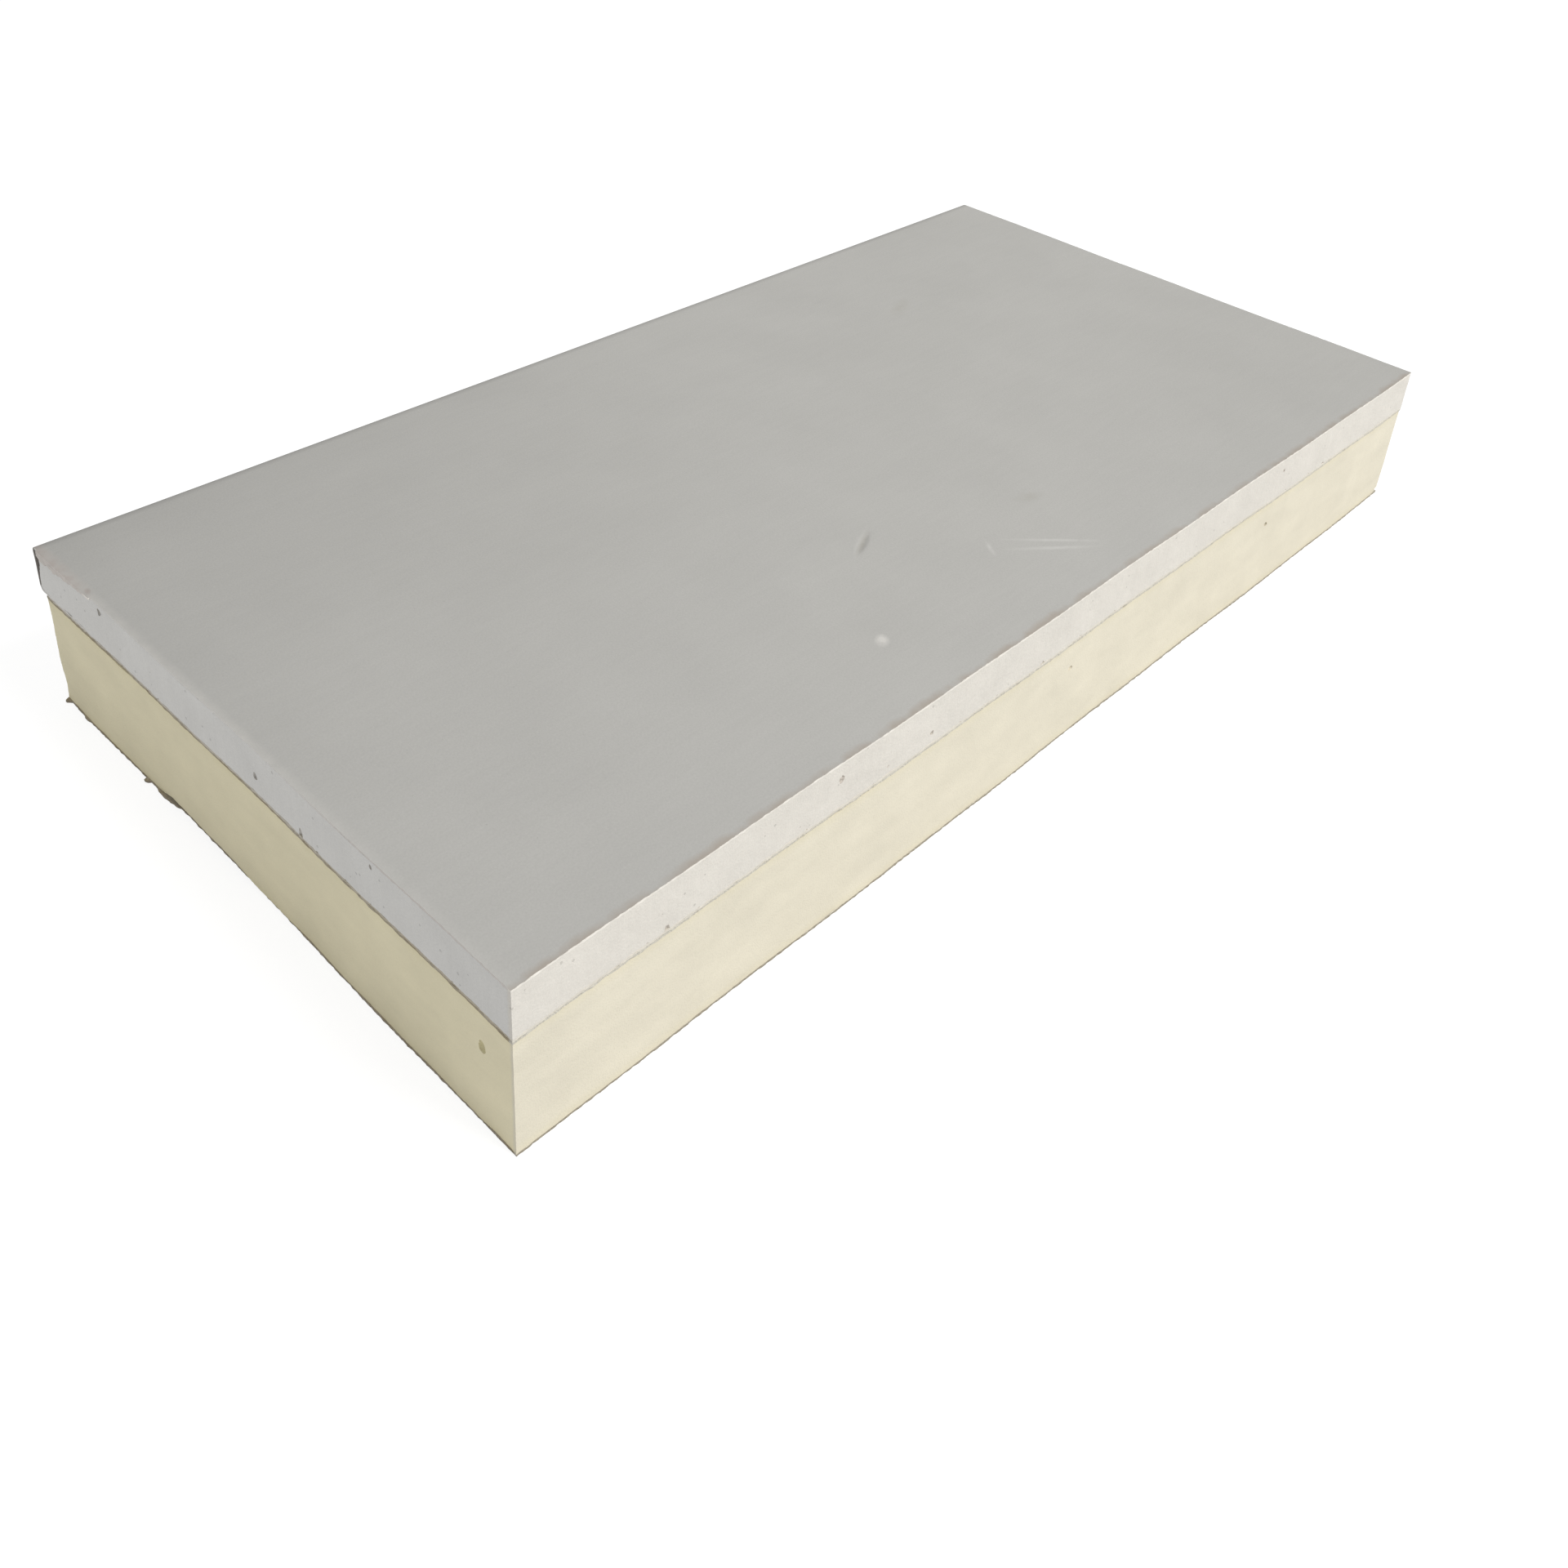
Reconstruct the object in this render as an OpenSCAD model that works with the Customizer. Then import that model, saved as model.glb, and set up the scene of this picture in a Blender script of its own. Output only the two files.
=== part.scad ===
// Insulated plasterboard: a sawn piece of paper-lined plasterboard with rigid foam bonded to its back.
// It lies flat with its face up. X runs along the length and Y from the sawn long edge to the bound one.

/* [Board] */
// Length of the piece along X
board_l = 340; // [200:1:600]
// Width of the piece along Y
board_w = 172; // [120:1:400]

/* [Plasterboard] */
// Thickness of the plasterboard with both of its papers
plaster_t = 12.5; // [9.5:0.5:19]
// Thickness of one paper liner
paper_t = 0.5; // [0.3:0.05:0.8]
// Radius of the paper's folds at the bound edge
fold_r = 1.5; // [1:0.1:3]
// Width of the face paper that is folded onto the back
lap_w = 22; // [12:1:40]
// Distance from the bound edge to the back paper
back_paper_inset = 3; // [2:0.5:8]

/* [Insulation] */
// Thickness of the insulation with both of its facers
insulation_t = 30; // [20:1:100]
// Thickness of one facer
facer_t = 0.6; // [0.3:0.1:1]
// Distance from the bound edge to the foam's top and bottom
foam_inset = 2.6; // [2:0.1:6]
// How far the foam's rough edge bulges between them
foam_bulge = 0.6; // [0:0.1:1.8]

/* [Damage] */
// Radius of the largest chip in the gypsum's lower arris
chip_r = 1.3; // [0.8:0.1:3]
// Radius of the dents in the foam
dent_r = 1.5; // [0.5:0.1:2]
// Width at the top of the gap where gypsum has broken away behind the fold, at the left end
gap_w = 2.2; // [0.5:0.1:3]
// How deep that gap runs into the left end
gap_d = 5; // [1:0.5:12]
// Length of the torn paper lip that hangs over the left end beside the bound edge
lip_l = 24; // [8:1:60]
// How far the lip hangs down
lip_h = 2.2; // [0.8:0.1:4]
// How far the back facer's flakes stick out of the left end
flake_l = 1.2; // [0.5:0.1:3]
// How far the torn back facer is set back from the left end
tear_d = 0.8; // [0.3:0.1:4]

/* [Hidden] */
// Steps in a paper fold
fold_steps = 6;
// How far a cutting or spare shape runs past what it cuts
spare = 1;
// The left end's plane, so that the piece and its flakes together are centred on X
end_x = -(board_l - flake_l) / 2;
far_x = end_x + board_l;
// The sawn long edge and the bound one
sawn_y = -board_w / 2;
bound_y = board_w / 2;
// Levels, from the back up
foam_z = facer_t;
foam_top_z = insulation_t - facer_t;
fold_z = insulation_t + paper_t;
face_z = insulation_t + plaster_t;
// Chips in the gypsum's lower arris at the left end: distance from the bound edge, share of chip_r
end_chips = [[62, 0.7], [81, 0.6], [107.5, 1], [141, 0.8]];
// The one chip in the same arris on the sawn long edge: distance from the left end, share of chip_r
side_chip = [35, 1];
// Share of the torn lip's length that hangs down all the way
lip_full = 0.35;
// Rough profile of the foam's bound edge, from the bottom up: share of its height, share of foam_bulge
foam_edge = [[0, 0], [0.06, -0.4], [0.14, -0.7], [0.22, -0.4], [0.3, 0.4], [0.38, 1], [0.5, 0.8],
             [0.63, 0.4], [0.75, 0], [0.92, -0.3], [1, 0]];
// Dent in the foam's left end: distance from the sawn long edge, distance below the face
end_dent = [9.5, 22];
// Dents in the foam's sawn long side: distance from the left end, distance below the face, share of dent_r
side_dents = [[165, 21, 0.6], [258.5, 20, 0.5]];
// Flakes of the back facer: distance from the bound edge, width, share of flake_l
flakes = [[foam_inset, 2, 1], [40, 3, 0.9], [44.5, 7, 0.7]];
// Where along its width a flake's tip is
flake_tip = 0.7;
// Where the back facer is torn away at the left end: distance from the bound edge, length along it
tear = [52, 60];
// Outline of that tear: share of its length, share of tear_d
tear_line = [[0, 0], [0.04, 1], [0.5, 0.8], [1, 0]];
$fn = 48;

// Quarter of a fold's arc, from one angle to another, about a point
function fold_arc(z, r, from, to) =
    [for (i = [0 : fold_steps])
        let (a = from + (to - from) * i / fold_steps)
        [bound_y - fold_r + r * cos(a), z + r * sin(a)]];

// Outline of the plasterboard from its sawn edge over the face, round the folds and along the lap
function face_line(inset) = concat(
    [[sawn_y, face_z - inset]],
    fold_arc(face_z - fold_r, fold_r - inset, 90, 0),
    fold_arc(fold_z + fold_r, fold_r - inset, 0, -90),
    [[bound_y - lap_w, fold_z + inset]]
);

function reversed(line) = [for (i = [len(line) - 1 : -1 : 0]) line[i]];

// Runs an outline, drawn with Y across and Z up, along X from one place to another
module along_x(line, from, to) {
    translate([from, 0, 0])
        rotate([90, 0, 90])
            linear_extrude(height = to - from)
                polygon(line);
}

// A level sheet from the sawn long edge to a place along Y
module sheet(z, t, to_y) {
    translate([end_x, sawn_y, z])
        cube([board_l, to_y - sawn_y, t]);
}

// Face paper, folded round the bound edge and lapped onto the back, with its torn lip
module face_paper() {
    lip_y = bound_y - paper_t - gap_w;
    color([0.69, 0.69, 0.67])
        union() {
            along_x(concat(face_line(0), reversed(face_line(paper_t))), end_x, far_x);
            along_x([[lip_y, face_z], [lip_y, face_z - lip_h], [lip_y - lip_l * lip_full, face_z - lip_h],
                     [lip_y - lip_l, face_z]], end_x - paper_t, end_x);
        }
}

// Wedge of gypsum that has broken away behind the fold, widest at the top
module broken_gap() {
    inner_y = bound_y - paper_t;
    along_x([[inner_y + spare, face_z], [inner_y - gap_w, face_z], [inner_y - gap_w, face_z - fold_r],
             [inner_y, fold_z + fold_r], [inner_y + spare, fold_z + fold_r]],
            end_x - spare, end_x + gap_d);
}

// Gypsum, rebated for the lap, with its chipped arrises
module gypsum_core() {
    core_line = concat(face_line(paper_t), [[bound_y - lap_w, fold_z], [sawn_y, fold_z]]);
    color([0.89, 0.86, 0.82])
        difference() {
            along_x(core_line, end_x, far_x);
            for (chip = end_chips)
                translate([end_x, bound_y - chip[0], fold_z])
                    sphere(r = chip_r * chip[1]);
            broken_gap();
            translate([end_x + side_chip[0], sawn_y, fold_z])
                sphere(r = chip_r * side_chip[1]);
        }
}

// Back paper, over the lap
module back_paper() {
    color([0.78, 0.72, 0.68])
        sheet(insulation_t, paper_t, bound_y - back_paper_inset);
}

// Facer that bonds the foam to the back paper
module foam_top_facer() {
    color([0.45, 0.40, 0.32])
        sheet(foam_top_z, facer_t, bound_y - foam_inset);
}

// Foam, with a rough bulging edge under the bound one and a few dents
module foam_core() {
    edge_y = bound_y - foam_inset;
    foam_line = concat(
        [[sawn_y, foam_z]],
        [for (point = foam_edge)
            [edge_y + foam_bulge * point[1], foam_z + (foam_top_z - foam_z) * point[0]]],
        [[sawn_y, foam_top_z]]
    );
    color([0.89, 0.85, 0.70])
        difference() {
            along_x(foam_line, end_x, far_x);
            translate([end_x, sawn_y + end_dent[0], face_z - end_dent[1]])
                sphere(r = dent_r);
            for (dent = side_dents)
                translate([end_x + dent[0], sawn_y, face_z - dent[1]])
                    sphere(r = dent_r * dent[2]);
        }
}

// Back facer, torn at the left end, with flakes that stick out of it
module foam_back_facer() {
    tear_y = bound_y - tear[0];
    color([0.76, 0.71, 0.66])
        difference() {
            union() {
                sheet(0, facer_t, bound_y - foam_inset);
                for (flake = flakes)
                    translate([end_x, bound_y - flake[0] - flake[1], 0])
                        linear_extrude(height = facer_t)
                            polygon([[spare, 0], [0, 0], [-flake_l * flake[2], flake[1] * flake_tip],
                                     [0, flake[1]], [spare, flake[1]]]);
            }
            translate([0, 0, -spare])
                linear_extrude(height = facer_t + 2 * spare)
                    polygon(concat(
                        [[end_x - spare, tear_y]],
                        [for (point = tear_line)
                            [end_x + tear_d * point[1], tear_y - tear[1] * point[0]]],
                        [[end_x - spare, tear_y - tear[1]]]
                    ));
        }
}

face_paper();
gypsum_core();
back_paper();
foam_top_facer();
foam_core();
foam_back_facer();
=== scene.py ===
import math
import random

import bpy
from mathutils import Matrix, Vector


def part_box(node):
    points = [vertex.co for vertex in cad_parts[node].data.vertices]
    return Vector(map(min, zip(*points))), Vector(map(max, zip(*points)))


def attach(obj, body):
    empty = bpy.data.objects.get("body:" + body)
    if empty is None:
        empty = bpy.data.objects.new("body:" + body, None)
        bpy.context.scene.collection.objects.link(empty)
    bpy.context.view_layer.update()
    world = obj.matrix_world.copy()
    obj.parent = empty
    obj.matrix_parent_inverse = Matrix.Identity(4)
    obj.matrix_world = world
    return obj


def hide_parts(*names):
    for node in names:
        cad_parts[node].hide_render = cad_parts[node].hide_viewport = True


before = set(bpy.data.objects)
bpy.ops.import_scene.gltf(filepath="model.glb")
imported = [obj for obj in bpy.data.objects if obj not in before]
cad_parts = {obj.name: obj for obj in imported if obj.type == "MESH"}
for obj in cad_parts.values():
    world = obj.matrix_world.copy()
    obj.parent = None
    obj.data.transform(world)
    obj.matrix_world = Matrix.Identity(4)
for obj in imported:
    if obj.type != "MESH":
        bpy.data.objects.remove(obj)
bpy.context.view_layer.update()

bl_info = {
    "name": "Insulated Plasterboard",
    "version": (1, 0, 0),
    "blender": (4, 5, 0),
    "location": "3D View > Sidebar > Plasterboard",
    "description": "Builds a sawn piece of insulated plasterboard in paper, gypsum, foam and facers",
    "category": "Object",
}

MM = 0.001

# The piece's faces and levels, in metres, as the frame has them
PAPER_LOW, PAPER_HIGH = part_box("face_paper")
GYPSUM_LOW, GYPSUM_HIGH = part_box("gypsum_core")
BACK_PAPER_LOW, BACK_PAPER_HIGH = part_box("back_paper")
TOP_FACER_LOW, TOP_FACER_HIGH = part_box("foam_top_facer")
FOAM_LOW, FOAM_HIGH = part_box("foam_core")
BACK_FACER_LOW, BACK_FACER_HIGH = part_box("foam_back_facer")
END_X = GYPSUM_LOW.x
FAR_X = GYPSUM_HIGH.x
SAWN_Y = PAPER_LOW.y
BOUND_Y = PAPER_HIGH.y
FACE_Z = PAPER_HIGH.z
FOLD_Z = PAPER_LOW.z
PAPER_T = FACE_Z - GYPSUM_HIGH.z

# Chips in the gypsum's lower arris at the left end: distance from the bound edge, radius and how far
# they reach up, in mm
END_CHIPS = ((62, 0.8, 0.8), (81, 0.7, 0.8), (107.5, 1.1, 3.2), (141, 0.7, 0.7))
# The same on the sawn long edge: distance from the left end
SIDE_CHIPS = ((35, 1.4, 1.9), (151, 0.7, 0.7), (288, 0.8, 0.7))
# Dent in the foam's left end: distance from the sawn edge, distance below the face and radius
END_DENTS = ((9.5, 22, 0.9),)
# Dents in the foam's sawn long side: distance from the left end, distance below the face and radius
SIDE_DENTS = ((165, 21, 0.8), (258.5, 20, 0.7), (214, 37, 0.4))
# Air bubbles in the gypsum's left end, as tall ovals: distance from the bound edge, distance below the
# face and radius
END_PORES = ((30.3, 2.2, 0.75), (91.9, 7.5, 0.65), (131.8, 2, 0.5))
# The same in its sawn long side: distance from the left end
SIDE_PORES = ((81.5, 4.6, 0.75), (110.4, 9.1, 0.5), (96.2, 9.9, 0.35), (262, 4.1, 0.4))
# Rough profile of the foam's bound edge: share of its height and share of its bulge
FOAM_EDGE = ((0, 0), (0.06, -0.4), (0.14, -0.7), (0.22, -0.4), (0.3, 0.4), (0.38, 1), (0.5, 0.8), (0.63, 0.4),
             (0.75, 0), (0.92, -0.3), (1, 0))
# Flakes of the back facer: distance from the bound edge, width and share of their length
FLAKES = ((2.6, 1.8, 0.75), (11, 3.5, 0.25), (40, 2, 0.75), (44.5, 7, 0.35))
# Where the back facer is torn away: distance from the bound edge and length
TEAR = (52, 60)
# Marks on the face: distance from the left end, from the bound edge, half length, half width, and
# turn from X towards the bound edge in degrees
DENT = (142.9, 123.1, 6.8, 1.1, 27)
SCUFFS = ((179.2, 153, 16, 0.9, -42.4), (176.4, 155, 15, 1.1, -37.6), (164.7, 144.5, 4.6, 0.9, 58.5))
PALE_SPOT = (117.1, 151.1, 2.7, 2, 40)
SMUDGES = ((253, 43, 9, 3.5, 25), (191, 137, 6, 2.5, -20))
TORN_SPOTS = ((0.9, 24.6, 1.8, 1, 64),)
# Painted shade: the face is painted a little dimmer towards the left end's bound corner, along the bound edge
# and the left end, and at the two corners of the sawn edge, where the light falls off: the marks, as above,
# and how dim their middles are
PAINTED_FACE_SHADE = (((0, 0, 190, 150, 0), 0.87), ((40, 2, 130, 16, 0), 0.95), ((0, 60, 14, 90, 0), 0.96),
           ((340, 172, 130, 100, 0), 0.93), ((0, 172, 110, 90, 0), 0.96))

# The camera, in metres, degrees and pixels of a picture that is 1920 pixels square
FRAME_PX = 1920
CAMERA_FOCAL_PX = 1927
CAMERA_CENTRE_PX = (960, 560)
CAMERA_PLACE = (-0.27531, -0.22937, 0.24800)
CAMERA_HEADING = 48.625
CAMERA_PITCH = 30.327
CAMERA_ROLL = 4.206


def linear(hex_colour):
    """Turns an sRGB hex colour into the linear one that Blender's sockets take."""
    channels = [int(hex_colour[i : i + 2], 16) / 255 for i in (1, 3, 5)]
    return tuple(c / 12.92 if c <= 0.04045 else ((c + 0.055) / 1.055) ** 2.4 for c in channels)


def per_mm(size):
    """The scale that gives a texture, read in metres, features of about this many millimetres."""
    return 1000 / size


def ease(value, start, end):
    """Rises smoothly from 0 at start to 1 at end."""
    share = min(max((value - start) / (end - start), 0), 1)
    return share * share * (3 - 2 * share)


def colour_property(name, description, hex_colour):
    return bpy.props.FloatVectorProperty(
        name=name, description=description, subtype="COLOR", size=3, min=0, max=1, default=linear(hex_colour)
    )


def length_property(name, description, millimetres):
    return bpy.props.FloatProperty(
        name=name, description=description, unit="LENGTH", min=0, default=millimetres * MM, precision=5
    )


class PlasterboardSizes(bpy.types.PropertyGroup):
    fold_radius: length_property("Fold radius", "Radius of the paper's folds", 1.5)
    lap: length_property("Lap", "Width of the face paper folded onto the back", 22)
    lip_length: length_property("Lip length", "Length of the torn paper lip at the left end", 24)
    lip_drop: length_property("Lip drop", "How far the torn lip hangs down", 2.2)
    gap_width: length_property("Gap width", "Width of the broken gap behind the fold", 2.2)
    gap_depth: length_property("Gap depth", "How deep the broken gap runs in", 5)
    foam_inset: length_property("Foam inset", "Distance of the foam's arrises from the bound edge", 2.6)
    foam_bulge: length_property("Foam bulge", "How far the foam's rough edge bulges", 0.6)
    flake: length_property("Flake", "How far the back facer's flakes stick out", 1.2)
    tear: length_property("Tear", "How far the back facer is torn back at the left end", 0.8)
    wander: length_property("Wander", "How far the sawn cuts wander from straight", 0.5)
    dent: length_property("Dent", "Depth of the dent in the face", 0.45)


class PlasterboardColours(bpy.types.PropertyGroup):
    paper: colour_property("Face paper", "Grey liner on the face", "#B0AFAB")
    pulp: colour_property("Paper edge", "Pulp seen on the paper's sawn edge", "#D3CDC8")
    torn_pulp: colour_property("Torn paper", "Pulp seen where the paper is torn", "#E0D9D3")
    rubbed: colour_property("Rubbed paper", "Face paper whose grey skin is rubbed off", "#B1A8A2")
    gypsum: colour_property("Gypsum", "Set gypsum on the sawn ends", "#E2E1DE")
    gypsum_dusty: colour_property("Dusty gypsum", "Gypsum on the sawn long edge", "#E2DED6")
    back_paper: colour_property("Back paper", "Liner on the back of the gypsum", "#BDB4A2")
    joint: colour_property("Joint", "Glued facer in the joint", "#9E9178")
    joint_dusty: colour_property("Dusty joint", "Glued facer on the sawn long edge", "#CECABE")
    foam: colour_property("Foam", "Rigid foam on the sawn ends", "#EBE3C5")
    foam_dusty: colour_property("Dusty foam", "Rigid foam on the sawn long edge", "#DED8C6")
    facer: colour_property("Back facer", "Coated facer on the foam's back", "#C2B7AC")
    facer_pale: colour_property("Back facer, pale", "Paler blotches of the back facer", "#CEC4B3")
    facer_edge: colour_property("Facer edge", "The back facer's cut edge", "#90866F")


def sizes():
    return bpy.context.scene.plasterboard_sizes


def colours():
    return bpy.context.scene.plasterboard_colours


# Materials


def new_material(name):
    material = bpy.data.materials.new(name)
    material.use_nodes = True
    return material, material.node_tree


def add(tree, kind, sockets=None, **settings):
    """Adds a shader node, gives it its settings, and fills its sockets with links or values."""
    new = tree.nodes.new("ShaderNode" + kind)
    for name, value in settings.items():
        setattr(new, name, value)
    for socket, value in (sockets or {}).items():
        if isinstance(value, bpy.types.NodeSocket):
            tree.links.new(value, new.inputs[socket])
        else:
            new.inputs[socket].default_value = value
    return new


def blotches(tree, position, size, low, high, detail=3.0):
    """A cloudy factor between low and high, with features of this many millimetres."""
    noise = add(tree, "TexNoise", {"Vector": position, "Scale": per_mm(size), "Detail": detail})
    return add(tree, "MapRange", {0: noise.outputs["Fac"], 1: 0.3, 2: 0.7, 3: low, 4: high}).outputs[0]


def stretched(tree, position, stretch):
    """The position with its pattern drawn out along an axis."""
    return add(tree, "Mapping", {"Vector": position, "Scale": stretch}).outputs[0]


def mark(tree, position, place):
    """1 at the middle of a mark on the face and 0 outside its oval."""
    along, across, half_length, half_width, turn = place
    local = add(
        tree,
        "Mapping",
        {
            "Vector": position,
            "Location": (END_X + along * MM, BOUND_Y - across * MM, FACE_Z),
            "Rotation": (0, 0, math.radians(turn)),
            "Scale": (half_length * MM, half_width * MM, 20 * MM),
        },
        vector_type="TEXTURE",
    )
    return add(tree, "TexGradient", {0: local.outputs[0]}, gradient_type="SPHERICAL").outputs["Fac"]


def broken(tree, mask, position, size, low, high):
    """A mask broken up by a noise of this many millimetres: 0 below low and 1 above high."""
    noise = add(tree, "TexNoise", {"Vector": position, "Scale": per_mm(size), "Detail": 4.0})
    patchy = add(tree, "Math", {0: mask, 1: noise.outputs["Fac"]}, operation="MULTIPLY")
    return add(tree, "MapRange", {0: patchy.outputs[0], 1: low, 2: high}).outputs[0]


def mix(tree, mask, first, second):
    """Blends two colours, each a socket or a linear colour."""
    colour = [value if isinstance(value, bpy.types.NodeSocket) else (*value, 1) for value in (first, second)]
    return add(tree, "Mix", {0: mask, 6: colour[0], 7: colour[1]}, data_type="RGBA").outputs[2]


def toned(tree, colour, *factors):
    """A colour made lighter or darker by some factors."""
    for factor in factors:
        colour = add(tree, "VectorMath", {0: colour, "Scale": factor}, operation="SCALE").outputs[0]
    return colour


def on_sawn_side(tree, position):
    """1 on the sawn long edge and 0 everywhere else."""
    across = add(tree, "SeparateXYZ", {0: position}).outputs["Y"]
    return add(tree, "MapRange", {0: across, 1: SAWN_Y + 1.6 * MM, 2: SAWN_Y + 0.9 * MM}).outputs[0]


def finish(tree, colour, height, depth, roughness, specular):
    """Joins colour and relief to the shader. The relief's depth is in millimetres."""
    shader = tree.nodes["Principled BSDF"]
    tree.links.new(colour, shader.inputs["Base Color"])
    bump = add(tree, "Bump", {"Height": height, "Strength": 1.0, "Distance": depth * MM})
    tree.links.new(bump.outputs[0], shader.inputs["Normal"])
    shader.inputs["Roughness"].default_value = roughness
    shader.inputs["Specular IOR Level"].default_value = specular


def liner_paper():
    # Grey plasterboard liner: recycled pulp, pressed smooth on the machine. It is dull and even, with a
    # faint cloudy mottle, fibres that run along the board, and odd dark flecks.
    material, tree = new_material("recycled liner paper, calendered")
    own = colours()
    position = add(tree, "TexCoord").outputs["Object"]
    base = add(tree, "RGB")
    base.outputs[0].default_value = (*own.paper, 1)
    clouds = blotches(tree, position, 24, 0.98, 1.02, 4.0)
    # Painted shade: the face dims towards some corners and edges, where the light falls off
    painted_face_shade = [add(tree, "MapRange", {0: mark(tree, position, place), 3: 1.0, 4: dim}).outputs[0]
               for place, dim in PAINTED_FACE_SHADE]
    streaks = blotches(tree, stretched(tree, position, (0.12, 1, 1)), 1.4, 0.99, 1.01)
    grain = blotches(tree, position, 0.5, 0.97, 1.03)
    specks = add(tree, "TexNoise", {"Vector": position, "Scale": per_mm(0.9), "Detail": 1.0})
    flecks = add(tree, "MapRange", {0: specks.outputs["Fac"], 1: 0.76, 2: 0.84, 3: 1.0, 4: 0.88})
    paper = toned(tree, base.outputs[0], clouds, streaks, grain, flecks.outputs[0])
    for place in SMUDGES:
        dirt = broken(tree, mark(tree, position, place), position, 3, 0.05, 0.6)
        paper = mix(tree, dirt, paper, linear("#AAA8A2"))
    # Painted shade in the dent: its hollow is painted a darker grey
    dent = broken(tree, mark(tree, position, DENT), position, 1.2, 0.0, 0.45)
    paper = mix(tree, dent, paper, linear("#A3A19B"))
    for place in SCUFFS:
        scuff = broken(tree, mark(tree, position, place), position, 2.5, 0.05, 0.6)
        paper = mix(tree, scuff, paper, linear("#BFBEBA"))
    for place in TORN_SPOTS:
        torn = broken(tree, mark(tree, position, place), position, 1.2, 0.05, 0.4)
        paper = mix(tree, torn, paper, linear("#9C918B"))
    spot = broken(tree, mark(tree, position, PALE_SPOT), position, 2, 0.02, 0.4)
    paper = mix(tree, spot, paper, linear("#C8C6C1"))
    axes = add(tree, "SeparateXYZ", {0: position})
    # Painted shade: the face darkens over the last few millimetres before the fold at the bound edge, where
    # it turns away from the light
    painted_fold_shade = {0: axes.outputs["Y"], 1: BOUND_Y - 3 * MM, 2: BOUND_Y - 1 * MM, 3: 1.0, 4: 0.8}
    edge = add(tree, "MapRange", painted_fold_shade)
    beside_end = add(tree, "MapRange", {0: axes.outputs["X"], 1: END_X + 2.5 * MM, 2: END_X})
    toward_bound = add(tree, "MapRange", {0: axes.outputs["Y"], 1: -0.05, 2: 0.0, 3: 0.35, 4: 1.0})
    dusty = add(tree, "Math", {0: beside_end.outputs[0], 1: toward_bound.outputs[0]}, operation="MULTIPLY")
    end_dust = broken(tree, dusty.outputs[0], position, 3, 0.0, 0.6)
    paper = mix(tree, end_dust, paper, linear("#BFBDB8"))
    beside_sawn = add(tree, "MapRange", {0: axes.outputs["Y"], 1: SAWN_Y + 3.5 * MM, 2: SAWN_Y + 0.4 * MM})
    worn = broken(tree, beside_sawn.outputs[0], position, 5, 0.22, 0.55)
    paper = mix(tree, worn, paper, linear("#A69F96"))
    paper = mix(tree, rubbed_corner(tree, position), paper, own.rubbed)
    # Painted shade: the darkening before the fold and the dimmer corners and edges are laid over the paper
    # here
    paper = toned(tree, paper, edge.outputs[0], *painted_face_shade)
    relief = add(tree, "Math", {0: grain, 1: streaks}, operation="ADD")
    finish(tree, paper, relief.outputs[0], 0.2, 0.86, 0.3)
    return material


def rubbed_corner(tree, position):
    """1 along the torn part of the left arris, where the paper's grey surface is rubbed off."""
    axes = add(tree, "SeparateXYZ", {0: position})
    beside = add(tree, "MapRange", {0: axes.outputs["X"], 1: END_X + 3 * MM, 2: END_X})
    tip = BOUND_Y - sizes().lip_length - 6 * MM
    along = add(tree, "MapRange", {0: axes.outputs["Y"], 1: tip, 2: tip + 12 * MM})
    both = add(tree, "Math", {0: beside.outputs[0], 1: along.outputs[0]}, operation="MULTIPLY")
    return broken(tree, both.outputs[0], position, 2, 0.05, 0.75)


def torn_paper():
    # Torn liner: loose pulp fibres, pinkish brown inside the grey skin. It is matt and furry.
    material, tree = new_material("liner paper, torn")
    position = add(tree, "TexCoord").outputs["Object"]
    fibres = blotches(tree, stretched(tree, position, (1, 0.25, 1)), 0.6, 0.9, 1.08, 5.0)
    patches = blotches(tree, position, 2.5, 0.0, 1.0)
    base = mix(tree, patches, colours().torn_pulp, linear("#D0CAC4"))
    finish(tree, toned(tree, base, fibres), fibres, 0.5, 0.95, 0.15)
    return material


def paper_edge(name, colour, dust, side):
    # Cut edge of liner paper: several plies of pulp, sawn through and slightly furry. Gypsum dust pales it
    # toward the bound edge, but at the fold it is painted dark grey, partly the liner's grey skin and partly
    # painted shade of the fold seen edge-on.
    material, tree = new_material(name)
    position = add(tree, "TexCoord").outputs["Object"]
    plies = blotches(tree, stretched(tree, position, (0.4, 0.4, 2)), 0.5, 0.93, 1.05, 4.0)
    across = add(tree, "SeparateXYZ", {0: position}).outputs["Y"]
    dusty = add(tree, "MapRange", {0: across, 1: -0.05, 2: -0.01, 3: 0.15 * dust, 4: dust})
    base = mix(tree, dusty.outputs[0], colour, linear("#E2E0DC"))
    # Partly painted shade: the fold's cut edge is painted dark grey, partly the liner's grey skin and partly
    # the shade on the fold seen edge-on
    skin = add(tree, "MapRange", {0: across, 1: BOUND_Y - 1.6 * MM, 2: BOUND_Y - 0.6 * MM})
    base = mix(tree, skin.outputs[0], base, linear("#94918C"))
    base = mix(tree, on_sawn_side(tree, position), base, side)
    finish(tree, toned(tree, base, plies), plies, 0.3, 0.95, 0.15)
    return material


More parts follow.
